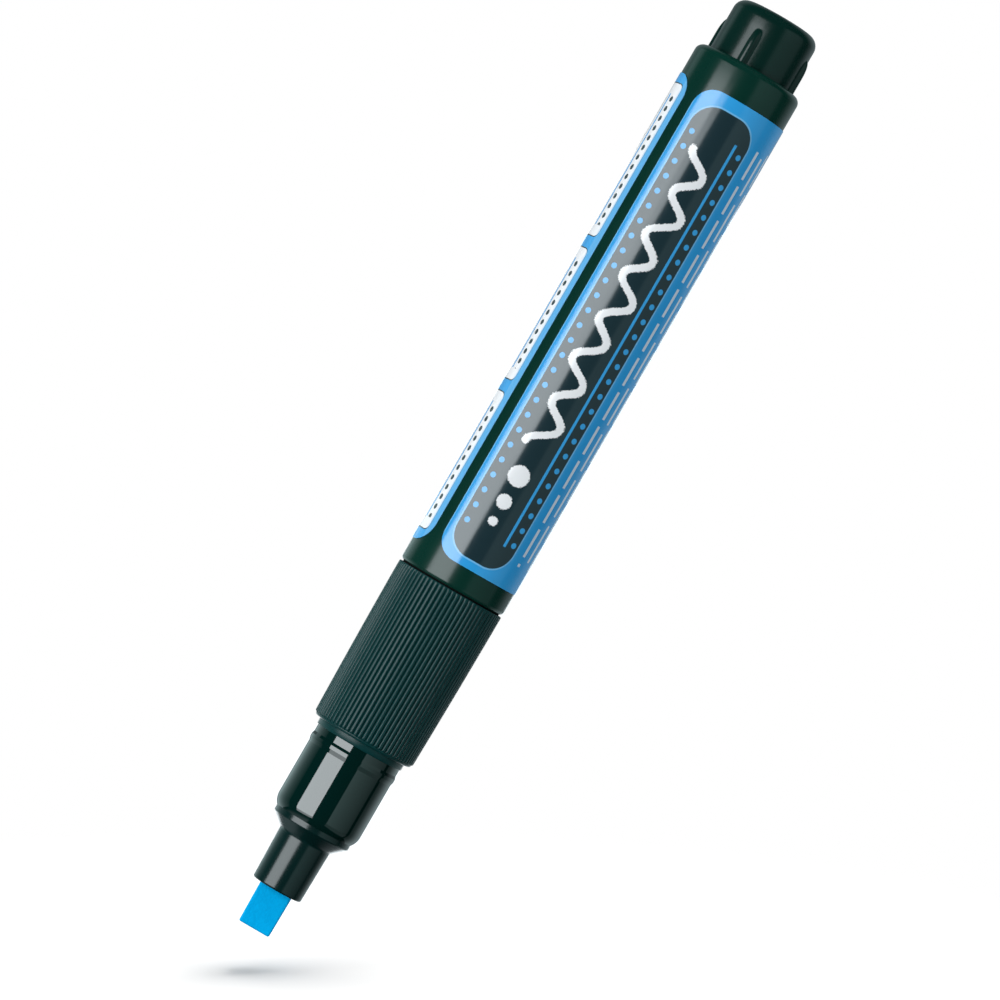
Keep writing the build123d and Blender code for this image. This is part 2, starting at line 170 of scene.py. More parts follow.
# How far the crests fall away at the ribs' ends, by height
rib_ends = {
    29.59: 0.2, 29.64: 0.11, 29.7: 0.055, 29.79: 0.012,
    52.5: 0.0, 52.74: 0.0, 52.79: 0.006, 52.84: 0.03, 52.88: 0.07, GRIP_END: 0.12,
}


def grip_radius(z):
    """Radius over the ribs: the grip swells a little towards the barrel."""
    share = (z - SWELL_START) / (GRIP_END - SWELL_START)
    return SWELL_RADIUS + SWELL_RISE * share - SWELL_SAG * share * share


grip_rings = [
    (NECK_BORE, NOSE_END),
    (NECK_RADIUS - NECK_CHAMFER, NOSE_END),
    (NECK_RADIUS, NOSE_END + NECK_CHAMFER),
    (NECK_RADIUS, GRIP_FRONT),
    *rounding(RIM_RADIUS - RIM_ROUND, GRIP_FRONT + RIM_ROUND, RIM_ROUND, 180, 90, 5),
    *[(grip_radius(z) - rib_ends.get(z, 0), z) for z in sorted([*rib_ends, *RIB_RINGS])],
    (SHOULDER_RADIUS, GRIP_END),
    (SHOULDER_RADIUS, SHOULDER_END),
    (SPIGOT_RADIUS, SHOULDER_END),
    (SPIGOT_RADIUS, SEAL_GROOVE_LOW),
    (SEAL_GROOVE_RADIUS, SEAL_GROOVE_LOW),
    (SEAL_GROOVE_RADIUS, SEAL_GROOVE_HIGH),
    (SPIGOT_RADIUS, SEAL_GROOVE_HIGH),
    (SPIGOT_RADIUS, SPIGOT_END - SPIGOT_CHAMFER),
    (SPIGOT_RADIUS - SPIGOT_CHAMFER, SPIGOT_END),
    (THROAT_RADIUS, SPIGOT_END),
    (THROAT_RADIUS, THROAT_START),
    (NECK_BORE, THROAT_START),
    (NECK_BORE, NOSE_END),
]
grip = turn("ribbed_grip", GRIP_RIBS * RIB_COLUMNS, grip_rings, filled=False)
stretches = []
for z, fall in rib_ends.items():
    depth = (RIB_CAP_DEPTH if z > RIBS_FULL_END else RIB_DEPTH) - fall
    stretches.append((z, z, depth))
stretches.append((RIBS_FULL, RIBS_FULL_END, RIB_DEPTH))
for low, high, depth in stretches:
    for column, share in enumerate(GROOVE_SHARES):
        beside = column * RIB_PITCH / RIB_COLUMNS
        pick(
            lambda radius, azimuth, z: radius > RIBS_LEAST_RADIUS
            and low - RING_SLACK < z < high + RING_SLACK
            and abs(abs(azimuth % RIB_PITCH - RIB_PITCH / 2) - beside) < COLUMN_SLACK
        )
        spread(1 - depth * share / grip_radius(low))
close_piece(crease=60)

# Nose: glossy sleeve with a round front edge and a bead that a cap snaps over
NOSE_RADIUS, NOSE_FRONT, NOSE_COLUMNS = 6.36, 16.24, 160
FRONT_ROUND, FRONT_ROUND_HEIGHT, FRONT_ROUND_START = 2.775, 17.8, 124.2
BEAD_RADIUS, BEAD_FOOT, BEAD_LOW, BEAD_HIGH, BEAD_END = 6.5, 25.8, 26.38, 26.9, 27.3
TAIL_RADIUS, TAIL_END = 5.6, 36
HOLDER_BORE, HOLDER_STOP, WICK_BORE = 4.86, 24.29, 3.1
nose_rings = [
    (HOLDER_BORE, NOSE_FRONT),
    *rounding(NOSE_RADIUS - FRONT_ROUND, FRONT_ROUND_HEIGHT, FRONT_ROUND, FRONT_ROUND_START, 90, 10),
    (NOSE_RADIUS, BEAD_FOOT),
    (BEAD_RADIUS, BEAD_LOW),
    (BEAD_RADIUS, BEAD_HIGH),
    (NOSE_RADIUS, BEAD_END),
    (NOSE_RADIUS, NOSE_END),
    (TAIL_RADIUS, NOSE_END),
    (TAIL_RADIUS, TAIL_END),
    (WICK_BORE, TAIL_END),
    (WICK_BORE, HOLDER_STOP),
    (HOLDER_BORE, HOLDER_STOP),
    (HOLDER_BORE, NOSE_FRONT),
]
nose = turn("glossy_nose", NOSE_COLUMNS, nose_rings, filled=False)
close_piece(crease=8)

# Push button with four guide ridges, which narrow and sink into the wall at their upper ends
BUTTON_RADIUS, BUTTON_TOP, BUTTON_ROUND, BUTTON_COLUMNS = 6.22, 141.4, 1.7, 288
FLANGE_RADIUS, FLANGE_LOW, FLANGE_TOP = 6.85, 130.23, 131.23
BUTTON_BORE, BUTTON_ROOF = 5.22, 140.2
POST_RADIUS, POST_LOW = 2.6, 131.05
RIDGES = (75, 165, 255, 345)
RIDGE_STEP = 360 / BUTTON_COLUMNS
RIDGE_HALF, RIDGE_RISE = 5.6, 0.58
# How far the ridges stand out, by height
ridge_rises = {
    138.4: 0.0, 138.2: 0.0, 138.1: 0.08, 137.95: 0.19, 137.7: 0.31, 137.4: 0.41, 137.0: 0.49, 136.6: 0.54,
    136.1: 0.57, 135.6: RIDGE_RISE, FLANGE_TOP: RIDGE_RISE,
}
button_rings = [
    *rounding(BUTTON_RADIUS - BUTTON_ROUND, BUTTON_TOP - BUTTON_ROUND, BUTTON_ROUND, 0, 90, 9),
    *[(BUTTON_RADIUS, z) for z in ridge_rises],
    (FLANGE_RADIUS, FLANGE_TOP),
    (FLANGE_RADIUS, FLANGE_LOW),
    (BUTTON_BORE, FLANGE_LOW),
    (BUTTON_BORE, BUTTON_ROOF),
    (POST_RADIUS, BUTTON_ROOF),
    (POST_RADIUS, POST_LOW),
]


def ridge_profile(share):
    """Height of a ridge's rounded cross-section, from 1 at its middle to 0 at its side."""
    return (1 - share ** 3) ** 1.2


button = turn("guided_button", BUTTON_COLUMNS, button_rings, filled=True)
for height, rise in ridge_rises.items():
    half = RIDGE_HALF * (0.5 + 0.5 * rise / RIDGE_RISE)
    for step in range(math.ceil(half / RIDGE_STEP)):
        beside = step * RIDGE_STEP
        pick(
            lambda radius, azimuth, z: abs(radius - BUTTON_RADIUS) < RING_SLACK
            and abs(z - height) < RING_SLACK
            and abs(min(abs((azimuth - ridge + 180) % 360 - 180) for ridge in RIDGES) - beside) < COLUMN_SLACK
        )
        spread(1 + rise * ridge_profile(beside / half) / BUTTON_RADIUS)
close_piece(crease=50)

# Nib: a felt bar that narrows a little towards its tip, with a chisel cut that rises to the rear
NIB_WIDTH, NIB_THICKNESS, NIB_TAIL, NIB_TIP = 4.78, 3.0, 14.15, 0.1
TIP_WIDTH, TAPER_START = 4.6, 6.15
CHISEL_START, CHISEL_FACING = -0.2, (0, 2.2, -1.7)
FELT_ROUND, FELT_VOXEL = 0.2, 0.1
LUMP_SIZE, LUMP_HEIGHT = 0.35, 0.05
nib = open_piece(
    "chisel_nib",
    bpy.ops.mesh.primitive_cube_add,
    size=1,
    scale=(NIB_WIDTH * MM, NIB_THICKNESS * MM, (NIB_TAIL - NIB_TIP) * MM),
    location=(0, 0, (NIB_TAIL + NIB_TIP) / 2 * MM),
)
bpy.ops.mesh.select_all(action="SELECT")
bpy.ops.mesh.bisect(plane_co=(0, 0, TAPER_START * MM), plane_no=(0, 0, 1))
pick(lambda radius, azimuth, z: z < TAPER_START / 2)
bpy.ops.transform.resize(value=(TIP_WIDTH / NIB_WIDTH, 1, 1), center_override=(0, 0, 0))
bpy.ops.mesh.select_all(action="SELECT")
bpy.ops.mesh.bisect(
    plane_co=(0, CHISEL_START * MM, 0), plane_no=CHISEL_FACING, use_fill=True, clear_outer=True
)
bpy.ops.mesh.select_all(action="SELECT")
bpy.ops.mesh.bevel(offset=FELT_ROUND * MM, segments=3, affect="EDGES")
close_piece(crease=180)
apply_modifier(nib, "REMESH", mode="VOXEL", voxel_size=FELT_VOXEL * MM, use_smooth_shade=True)
apply_modifier(nib, "SMOOTH", factor=0.5, iterations=3)
felt_lumps = bpy.data.textures.new("felt_lumps", "CLOUDS")
felt_lumps.noise_scale = LUMP_SIZE * MM
felt_lumps.noise_depth = 3
apply_modifier(
    nib, "DISPLACE", texture=felt_lumps, texture_coords="LOCAL", strength=LUMP_HEIGHT * MM, mid_level=0.5
)

# Springs: a wire circle, screwed up the axis
WIRE_SIDES, COIL_STEPS = 16, 48
RING_TOP = 118.33
CAGE_FLOOR, VALVE_HEAD = 37.6, 42.7


def coil(name, radius, wire, low, high, turns):
    """A spring of a wire of that thickness, between two heights, with the wire's ends filled in."""
    piece = open_piece(
        name,
        bpy.ops.mesh.primitive_circle_add,
        vertices=WIRE_SIDES,
        radius=wire / 2 * MM,
        location=(radius * MM, 0, (low + wire / 2) * MM),
        rotation=(math.pi / 2, 0, 0),
    )
    bpy.ops.object.mode_set(mode="OBJECT")
    apply_modifier(
        piece,
        "SCREW",
        axis="Z",
        angle=2 * math.pi,
        iterations=turns,
        screw_offset=(high - low - wire) / turns * MM,
        steps=COIL_STEPS,
        render_steps=COIL_STEPS,
    )
    bpy.ops.object.mode_set(mode="EDIT")
    bpy.ops.mesh.select_all(action="SELECT")
    bpy.ops.mesh.fill_holes(sides=0)
    close_piece(crease=60)
    return piece


return_coil = coil("return_coil", radius=6.1, wire=0.7, low=RING_TOP, high=FLANGE_LOW, turns=5)
valve_coil = coil("valve_coil", radius=1.9, wire=0.35, low=CAGE_FLOOR, high=VALVE_HEAD, turns=4)

# Bellows with round folds, closed at the top, with a lip at the foot
LEDGE, LIP_TOP, LIP_RADIUS, LIP_CHAMFER = 116.33, 117.13, 6.6, 0.15
CROWN_LOW, BELLOWS_TOP, BELLOWS_TOP_RADIUS, BELLOWS_TOP_EDGE = 130.13, 131.03, 3.2, 0.3
BELLOWS_ROOT, BELLOWS_CREST, BELLOWS_WALL, BELLOWS_COLUMNS = 3.52, 4.82, 0.5, 64
FOLDS, FOLD_RINGS = 6, 8


def fold_rings(inset):
    """Rings down the folds, at an inset from the outside."""
    count = FOLDS * FOLD_RINGS
    swell = (BELLOWS_CREST - BELLOWS_ROOT) / 2
    rings = []
    for ring in range(count + 1):
        radius = BELLOWS_ROOT - inset + swell * (1 - math.cos(2 * math.pi * ring / FOLD_RINGS))
        rings.append((radius, CROWN_LOW - (CROWN_LOW - LIP_TOP) * ring / count))
    return rings


bellows_rings = [
    (BELLOWS_TOP_RADIUS, BELLOWS_TOP),
    (BELLOWS_ROOT, BELLOWS_TOP - BELLOWS_TOP_EDGE),
    *fold_rings(0),
    (LIP_RADIUS - LIP_CHAMFER, LIP_TOP),
    (LIP_RADIUS, LIP_TOP - LIP_CHAMFER),
    (LIP_RADIUS, LEDGE + LIP_CHAMFER),
    (LIP_RADIUS - LIP_CHAMFER, LEDGE),
    (BELLOWS_ROOT - BELLOWS_WALL, LEDGE),
    *reversed(fold_rings(BELLOWS_WALL)),
]
bellows = turn("folded_bellows", BELLOWS_COLUMNS, bellows_rings, filled=True)
close_piece(crease=60)

# Shading tools
BLACK, WHITE = (0, 0, 0, 1), (1, 1, 1, 1)


def linear(red, green, blue):
    """A colour given as 8-bit screen values, as the linear colour that a shader takes."""
    def channel(value):
        share = value / 255
        return share / 12.92 if share <= 0.04045 else ((share + 0.055) / 1.055) ** 2.4
    return (channel(red), channel(green), channel(blue), 1.0)


class Wire:
    """A socket of a material's nodes, which arithmetic turns into Math nodes."""

    def __init__(self, shader, socket):
        self.shader = shader
        self.socket = socket

    def maths(self, operation, *values):
        return self.shader.node("ShaderNodeMath", {"operation": operation}, list(values))

    def __add__(self, other):
        return self.maths("ADD", self, other)

    __radd__ = __add__

    def __sub__(self, other):
        return self.maths("SUBTRACT", self, other)

    def __rsub__(self, other):
        return self.maths("SUBTRACT", other, self)

    def __mul__(self, other):
        return self.maths("MULTIPLY", self, other)

    __rmul__ = __mul__

    def __truediv__(self, other):
        return self.maths("DIVIDE", self, other)

    def __abs__(self):
        return self.maths("ABSOLUTE", self)

    def root(self):
        return self.maths("SQRT", self)

    def above(self, edge, blur):
        """0 below the edge and 1 above it, with a soft step as wide as the blur."""
        settings = {"interpolation_type": "SMOOTHSTEP"}
        values = {"Value": self, "From Min": edge - blur / 2, "From Max": edge + blur / 2}
        return self.shader.node("ShaderNodeMapRange", settings, values)

    def below(self, edge, blur):
        """1 below the edge and 0 above it, with a soft step as wide as the blur."""
        return 1 - self.above(edge, blur)

    def least(self, other):
        return self.maths("MINIMUM", self, other)

    def most(self, other):
        return self.maths("MAXIMUM", self, other)


class Shader:
    """The node tree of a material, a lamp or the world."""

    def __init__(self, owner):
        owner.use_nodes = True
        self.tree = owner.node_tree
        self.tree.nodes.clear()

    def node(self, kind, settings=None, values=None, output=0):
        """Adds a node, sets it up, fills its sockets with values or links, and returns an output."""
        made = self.tree.nodes.new(kind)
        for name, value in (settings or {}).items():
            setattr(made, name, value)
        pairs = enumerate(values) if isinstance(values, list) else (values or {}).items()
        for key, value in pairs:
            if isinstance(value, Wire):
                self.tree.links.new(value.socket, made.inputs[key])
            else:
                made.inputs[key].default_value = value
        return Wire(self, made.outputs[output]) if made.outputs else None

    def mix(self, factor, first, second):
        """Blends two colours."""
        values = {0: factor, 6: first, 7: second}
        return self.node("ShaderNodeMix", {"data_type": "RGBA"}, values, output=2)

    def place(self):
        """The point on the surface, in metres, in the marker's frame."""
        return self.node("ShaderNodeTexCoord", output="Object")

    def axes(self, point):
        """The three parts of a vector."""
        split = self.node("ShaderNodeSeparateXYZ", values=[point])
        return [Wire(self, socket) for socket in split.socket.node.outputs]

    def noise(self, point, size, detail=2.0, stretch=(1, 1, 1)):
        """Cloudy noise with blotches of about the size given, stretched along the axes."""
        scaled = self.node(
            "ShaderNodeVectorMath", {"operation": "MULTIPLY"}, [point, [s / size for s in stretch]]
        )
        return self.node("ShaderNodeTexNoise", values={"Vector": scaled, "Scale": 1.0, "Detail": detail})

    def bump(self, height, strength, distance, under=None):
        """The normal of a surface with small heights on it, over another bump if one is given."""
        values = {"Strength": strength, "Distance": distance, "Height": height}
        if under:
            values["Normal"] = under
        return self.node("ShaderNodeBump", values=values)

    def finish(self, values):
        """Ends a material with a surface of these values."""
        surface = self.node("ShaderNodeBsdfPrincipled", values=values)
        self.node("ShaderNodeOutputMaterial", values=[surface])


def new_shader(name):
    material = bpy.data.materials.new(name)
    return material, Shader(material)


def distance(first, second):
    """How far a point is from another, from the two steps between them at right angles."""
    return (first * first + second * second).root()


# Moulded plastic
CLOUD_SIZE = 6 * MM
CLOUD_LIGHTER = 1.25
GRAIN_HEIGHT = 0.02 * MM
# Width of the soft step into the painted shade of a gap
GAP_SHADE_BLUR = 0.01 * MM


def moulded_plastic(name, colour, roughness, grain, grain_size, ior=1.5, crown=None, shade_above=None):
    """Moulded plastic or rubber: a fine grain, slightly uneven colour and gloss.
    A crown lets the surface fall off a little above a height: by a depth over a length.
    Above the height given for the gap, the surface gets painted shade: black and fully rough, standing in for
    the shade in the dark gap to the next piece."""
    material, shader = new_shader(name)
    point = shader.place()
    cloud = shader.noise(point, CLOUD_SIZE)
    fine = shader.noise(point, grain_size, detail=3.0)
    lighter = tuple(min(1.0, c * CLOUD_LIGHTER) for c in colour[:3]) + (1.0,)
    paint = shader.mix(cloud, colour, lighter)
    dullness = roughness * (0.9 + 0.2 * cloud)
    normal = shader.bump(fine, grain, GRAIN_HEIGHT)
    if crown:
        start, depth, length = crown
        rise = ((shader.axes(point)[2] - start) / length).most(0)
        normal = shader.bump(1 - rise * rise, 1.0, depth, normal)
    # Painted shade: above the given height the colour turns black and the gloss dull, for the shade in the
    # gap
    if shade_above:
        painted_gap_shade = shader.axes(point)[2].above(shade_above, GAP_SHADE_BLUR)
        paint = shader.mix(painted_gap_shade, paint, BLACK)
        dullness = dullness + painted_gap_shade * (1 - dullness)
    shader.finish({"Base Color": paint, "Roughness": dullness, "IOR": ior, "Normal": normal})
    return material


# Felt and steel
FELT_PATCH, FIBRE_HEIGHT = 1.5 * MM, 0.05 * MM
DARK_STEEL, LIGHT_STEEL = linear(150, 150, 153), linear(196, 196, 198)
STEEL_LINE, STEEL_LINE_HEIGHT = 0.15 * MM, 0.02 * MM


def felt(name, dark, light, size, stretch):
    """Bonded fibres along the axis, soaked or dry."""
    material, shader = new_shader(name)
    point = shader.place()
    fibres = shader.noise(point, size, detail=3.0, stretch=stretch)
    patches = shader.noise(point, FELT_PATCH)
    shader.finish({
        "Base Color": shader.mix(0.7 * fibres + 0.3 * patches, dark, light),
        "Roughness": 0.8,
        "Specular IOR Level": 0.03,
        "Normal": shader.bump(fibres, 0.8, FIBRE_HEIGHT),
    })
    return material


def steel(name, roughness, stretch):
    """Drawn or polished steel, with fine lines."""
    material, shader = new_shader(name)
    lines = shader.noise(shader.place(), STEEL_LINE, detail=3.0, stretch=stretch)
    shader.finish({
        "Base Color": shader.mix(lines, DARK_STEEL, LIGHT_STEEL),
        "Metallic": 1.0,
        "Roughness": roughness * (0.8 + 0.4 * lines),
        "Normal": shader.bump(lines, 0.15, STEEL_LINE_HEIGHT),
    })
    return material


# Label: places are the arc from the camera's side and the height, both in millimetres
LABEL_RADIUS = 8.0
DARK_INK = linear(30, 49, 55)
WHITE_INK = linear(240, 236, 237)
PALE_BLUE = linear(112, 180, 226)
EDGE_BLUE = linear(52, 160, 224)
FIELD_BLUE = linear(46, 152, 216)
INK_CLOUD = 5 * MM
FILM_IOR, FILM_WAVE, FILM_WAVE_HEIGHT = 1.68, 2.5 * MM, 0.05 * MM

# Dark board with a pale rim, two rows of dots and a stripe
BOARD_ACROSS, BOARD_ALONG, BOARD_CORNER, BOARD_RIM = (-3.7, 5.5), (57.7, 126.4), 3.4, 0.22
ROW_ENDS = (61.4, 123.2)
DOT_ROWS, DOT_PITCH, DOT_RADIUS = (-2.75, 4.75), 2.3, 0.4
STRIPE_MIDDLE, STRIPE_HALF = 3.5, 0.2

# Chalk on the board: a wavy line that drifts a little from side to side, with round ends, and three dots
CHALK_MIDDLE, CHALK_HALF, CHALK_BLUR = 0.4, 0.52, 0.16
CHALK_GRAIN, CHALK_CRUMBLE = 0.22 * MM, 0.5
WAVE_SWING, WAVE_LENGTH = 1.5, 6.4
DRIFT_SWING, DRIFT_LENGTH, DRIFT_SHIFT = 0.3, 15.7, 0.6
WAVE_ENDS = (75.2, 120.0)
CHALK_DOTS = ((CHALK_MIDDLE, 63.6, 0.65), (CHALK_MIDDLE, 66.6, 1.05), (CHALK_MIDDLE, 70.5, 1.5))

# Rows of dashes on the blue field, each with its arc and pitch
DASH_ROWS = ((7.4, 5.3), (9.1, 7.1), (10.8, 6.1), (12.5, 4.7), (14.2, 6.6))
DASH_HALF, DASH_SHARE, DASH_STRENGTH, DASH_ENDS = 0.26, 0.4, 0.8, (60.0, 124.5)

# White panels with a row of dots, a rule and an arrow that has a diamond head at both ends
PANELS = ((58.2, 79.2), (81.2, 101.4), (103.4, 126.8))
PANEL_ACROSS, PANEL_CORNER, PANEL_LINE, PANEL_MARGIN = (-18.0, -7.9), 0.9, 0.16, 1.6
PANEL_DOTS, PANEL_DOT_PITCH, PANEL_DOT_RADIUS = -9.1, 1.5, 0.42
RULE_MIDDLE, RULE_HALF = -10.3, 0.22
ARROW_MIDDLE, ARROW_REACH, ARROW_HALF, ARROW_CORNER = -12.9, 3.6, 0.3, 0.2
ARROW_HEAD, ARROW_HEAD_SLOPE = 1.1, 0.8

# Pale band beside the bare strip, and a pale line along both of its edges
BAND_MIDDLE, BAND_HALF, BAND_BLUR, BAND_STRENGTH = -7.3, 0.75, 0.5, 0.7
BARE_MIDDLE, BARE_HALF, BARE_LINE = -5.83, 0.93, 0.14


def patch(across, along, low_across, high_across, low_along, high_along, corner):
    """Distance to a patch with round corners, less than 0 inside it."""
    half_across, half_along = (high_across - low_across) / 2, (high_along - low_along) / 2
    reach_across = abs(across - (low_across + half_across)) - (half_across - corner)
    reach_along = abs(along - (low_along + half_along)) - (half_along - corner)
    outside = distance(reach_across.most(0), reach_along.most(0))
    inside = reach_across.most(reach_along).least(0)
    return outside + inside - corner


def printed_film(name):
    """Label film: a blue field with dashes, a dark board with chalk marks, and white panels."""
    material, shader = new_shader(name)
    point = shader.place()
    x, y, z = shader.axes(point)
    across = x.maths("ARCTAN2", x, 0 - y) * LABEL_RADIUS
    along = z / MM
    chalk = shader.noise(point, CHALK_GRAIN, detail=4.0)
    cloud = shader.noise(point, INK_CLOUD)

    def sine(value, wavelength, shift=0.0):
        angle = value * (2 * math.pi / wavelength) + shift
        return angle.maths("SINE", angle)

    def between(low, high, blur=0.2):
        return along.above(low, blur) * along.below(high, blur)

    def beat(pitch):
        """How far along it is from the nearest of a row of places."""
        return abs(along.maths("PINGPONG", along, pitch / 2))

    colour = shader.mix(cloud, FIELD_BLUE, EDGE_BLUE)

    board = patch(across, along, *BOARD_ACROSS, *BOARD_ALONG, BOARD_CORNER)
    colour = shader.mix(board.below(BOARD_RIM, 0.08), colour, PALE_BLUE)
    colour = shader.mix(board.below(0, 0.08), colour, DARK_INK)
    for row in DOT_ROWS:
        dot = distance(across - row, beat(DOT_PITCH))
        colour = shader.mix(dot.below(DOT_RADIUS, 0.1) * between(*ROW_ENDS), colour, EDGE_BLUE)

    swing = WAVE_SWING * sine(along, WAVE_LENGTH) + DRIFT_SWING * sine(along, DRIFT_LENGTH, DRIFT_SHIFT)
    slant = (WAVE_SWING * 2 * math.pi / WAVE_LENGTH) * sine(along, WAVE_LENGTH, math.pi / 2)
    steep = 1 + slant * slant
    crumble = CHALK_CRUMBLE * (chalk - 0.5)
    stroke = abs(across - CHALK_MIDDLE - swing) / steep.root() + crumble
    colour = shader.mix(stroke.below(CHALK_HALF, CHALK_BLUR) * between(*WAVE_ENDS), colour, WHITE_INK)
    chalk_dots = list(CHALK_DOTS)
    for end in WAVE_ENDS:
        drift = DRIFT_SWING * math.sin(2 * math.pi / DRIFT_LENGTH * end + DRIFT_SHIFT)
        chalk_dots.append((CHALK_MIDDLE - WAVE_SWING + drift, end, CHALK_HALF))
    for middle, height, radius in chalk_dots:
        dot = distance(across - middle, along - height) + crumble
        colour = shader.mix(dot.below(radius, CHALK_BLUR), colour, WHITE_INK)

    stripe = abs(across - STRIPE_MIDDLE).below(STRIPE_HALF, 0.07) * between(*ROW_ENDS)
    colour = shader.mix(stripe, colour, EDGE_BLUE)

    for row, pitch in DASH_ROWS:
        dash = abs(across - row).below(DASH_HALF, 0.1) * beat(pitch).below(DASH_SHARE * pitch, 0.12)
        colour = shader.mix(dash * between(*DASH_ENDS) * DASH_STRENGTH, colour, WHITE_INK)

    for low, high in PANELS:
        panel = patch(across, along, *PANEL_ACROSS, low, high, PANEL_CORNER)
        colour = shader.mix(panel.below(PANEL_LINE, 0.06), colour, DARK_INK)
        colour = shader.mix(panel.below(0, 0.06), colour, WHITE_INK)
        inner = between(low + PANEL_MARGIN, high - PANEL_MARGIN, blur=0.1)
        dots = distance(across - PANEL_DOTS, beat(PANEL_DOT_PITCH)).below(PANEL_DOT_RADIUS, 0.1)
        colour = shader.mix(dots * inner, colour, DARK_INK)
        rule = abs(across - RULE_MIDDLE).below(RULE_HALF, 0.06)
        colour = shader.mix(rule * inner, colour, EDGE_BLUE)
        middle = (low + high) / 2
        shaft_across = ARROW_MIDDLE - ARROW_HALF, ARROW_MIDDLE + ARROW_HALF
        shaft_along = middle - ARROW_REACH, middle + ARROW_REACH
        shaft = patch(across, along, *shaft_across, *shaft_along, ARROW_CORNER)
        colour = shader.mix(shaft.below(0, 0.07), colour, DARK_INK)
        for end in shaft_along:
            head = abs(across - ARROW_MIDDLE) + abs(along - end) * ARROW_HEAD_SLOPE
            colour = shader.mix(head.below(ARROW_HEAD, 0.08), colour, DARK_INK)

    band = abs(across - BAND_MIDDLE).below(BAND_HALF, BAND_BLUR) * BAND_STRENGTH
    colour = shader.mix(band, colour, PALE_BLUE)
    bare = abs(across - BARE_MIDDLE) - BARE_HALF
    colour = shader.mix(bare.below(BARE_LINE, 0.06), colour, PALE_BLUE)
    shader.finish({
        "Base Color": colour,
        "Roughness": 0.13 + 0.05 * cloud,
        "IOR": FILM_IOR,
        "Normal": shader.bump(shader.noise(point, FILM_WAVE), 0.03, FILM_WAVE_HEIGHT),
    })
    return material


# Finishes: the grip gets painted shade, black, just before its end, where the gap to the barrel lies in
# shade, and the barrel falls off a little at its rear end
GRIP_SHADE_START = (GRIP_END - 0.01) * MM
BARREL_CROWN = (127.8 * MM, 0.12 * MM, 4.4 * MM)
finishes = {
    "nib_felt": felt(
        "nib_felt", linear(0, 149, 212), linear(2, 183, 245), size=0.16 * MM, stretch=(1, 1, 0.4)
    ),
    "holder_plastic": moulded_plastic(
        "holder_plastic", linear(5, 32, 31), roughness=0.2, grain=0.06, grain_size=0.1 * MM, ior=1.56
    ),
    "wick_fibre": felt(
        "wick_fibre", linear(214, 214, 206), linear(240, 240, 234), size=0.1 * MM, stretch=(1, 1, 0.05)
    ),
    "gloss_green": moulded_plastic(
        "gloss_green", linear(2, 29, 26), roughness=0.05, grain=0.02, grain_size=0.3 * MM, ior=1.82
    ),
    # painted shade, black, in the gap at the grip's rear end
    "matte_green": moulded_plastic(
        "matte_green", linear(3, 49, 49), roughness=0.33, grain=0.25, grain_size=0.08 * MM, ior=1.38,
        shade_above=GRIP_SHADE_START,
    ),
    "seal_rubber": moulded_plastic(
        "seal_rubber", linear(30, 30, 30), roughness=0.6, grain=0.2, grain_size=0.1 * MM
    ),
    "satin_green": moulded_plastic(
        "satin_green", linear(6, 44, 36), roughness=0.2, grain=0.06, grain_size=0.12 * MM,
        crown=BARREL_CROWN,
    ),
    "label_film": printed_film("label_film"),
    "button_green": moulded_plastic(
        "button_green", linear(4, 34, 29), roughness=0.23, grain=0.05, grain_size=0.12 * MM
    ),
    "spring_steel": steel("spring_steel", roughness=0.3, stretch=(0.2, 0.2, 1)),
    "bellows_rubber": moulded_plastic(
        "bellows_rubber", linear(196, 192, 186), roughness=0.5, grain=0.15, grain_size=0.15 * MM
    ),
    "inner_plastic": moulded_plastic(
        "inner_plastic", linear(228, 228, 222), roughness=0.42, grain=0.1, grain_size=0.2 * MM
    ),
    "ball_steel": steel("ball_steel", roughness=0.12, stretch=(1, 1, 1)),
}


def dress(piece, slot):
    piece.data.materials.clear()
    piece.data.materials.append(finishes[slot])


for subpart in frame["record"]["subparts"]:
    dress(nodes[subpart["node"]], subpart["material_slot"])
for piece, body, node, slot in (
    (grip, "marker_body", "grip_section", "matte_green"),
    (nib, "marker_body", "nib", "nib_felt"),
    (nose, "marker_body", "nose", "gloss_green"),
    (button, "button", "push_button", "button_green"),
    (return_coil, "marker_body", "return_spring", "spring_steel"),
    (valve_coil, "marker_body", "valve_spring", "spring_steel"),
    (bellows, "marker_body", "pump_bellows", "bellows_rubber"),
):
    dress(piece, slot)
    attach(piece, body)
    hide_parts(node)

# Springs and bellows, which shorten as the button goes in, each get a mesh of their own
PRESS, VALVE_LIFT = 3.5, 0.8
for piece, joint, foot, head, travel in (
    (return_coil, "button_press", RING_TOP, FLANGE_LOW, PRESS),
    (bellows, "button_press", LIP_TOP, BELLOWS_TOP, PRESS),
    (valve_coil, "valve_open", CAGE_FLOOR, VALVE_HEAD, VALVE_LIFT),
):
    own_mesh(piece)

# Camera: square on to the marker's axis, which leans to the right in the picture
LEAN = math.radians(30.05)
CAMERA_DISTANCE = 847 * MM
CAMERA_SIDESTEP = -0.195 * MM
VIEW_CENTRE_Z = 66.51 * MM
PICTURE_WIDTH = 134.5 * MM
SENSOR_WIDTH = 36.0
right = Vector((math.cos(LEAN), 0, math.sin(LEAN)))
up = Vector((-math.sin(LEAN), 0, math.cos(LEAN)))
back = Vector((0, -1, 0))


def placed(middle, sideways, upwards, outwards):
    """The matrix of an object at a place, with its three axes turned these ways."""
    return Matrix.Translation(middle) @ Matrix((sideways, upwards, outwards)).transposed().to_4x4()


camera_data = bpy.data.cameras.new("camera")
camera_data.sensor_width = SENSOR_WIDTH
camera_data.lens = SENSOR_WIDTH * CAMERA_DISTANCE / PICTURE_WIDTH
camera_data.clip_start = 10 * MM
camera = bpy.data.objects.new("camera", camera_data)
camera.matrix_world = placed((CAMERA_SIDESTEP, -CAMERA_DISTANCE, VIEW_CENTRE_Z), right, up, back)
bpy.context.scene.collection.objects.link(camera)
bpy.context.scene.camera = camera
bpy.context.scene.view_settings.view_transform = "Standard"

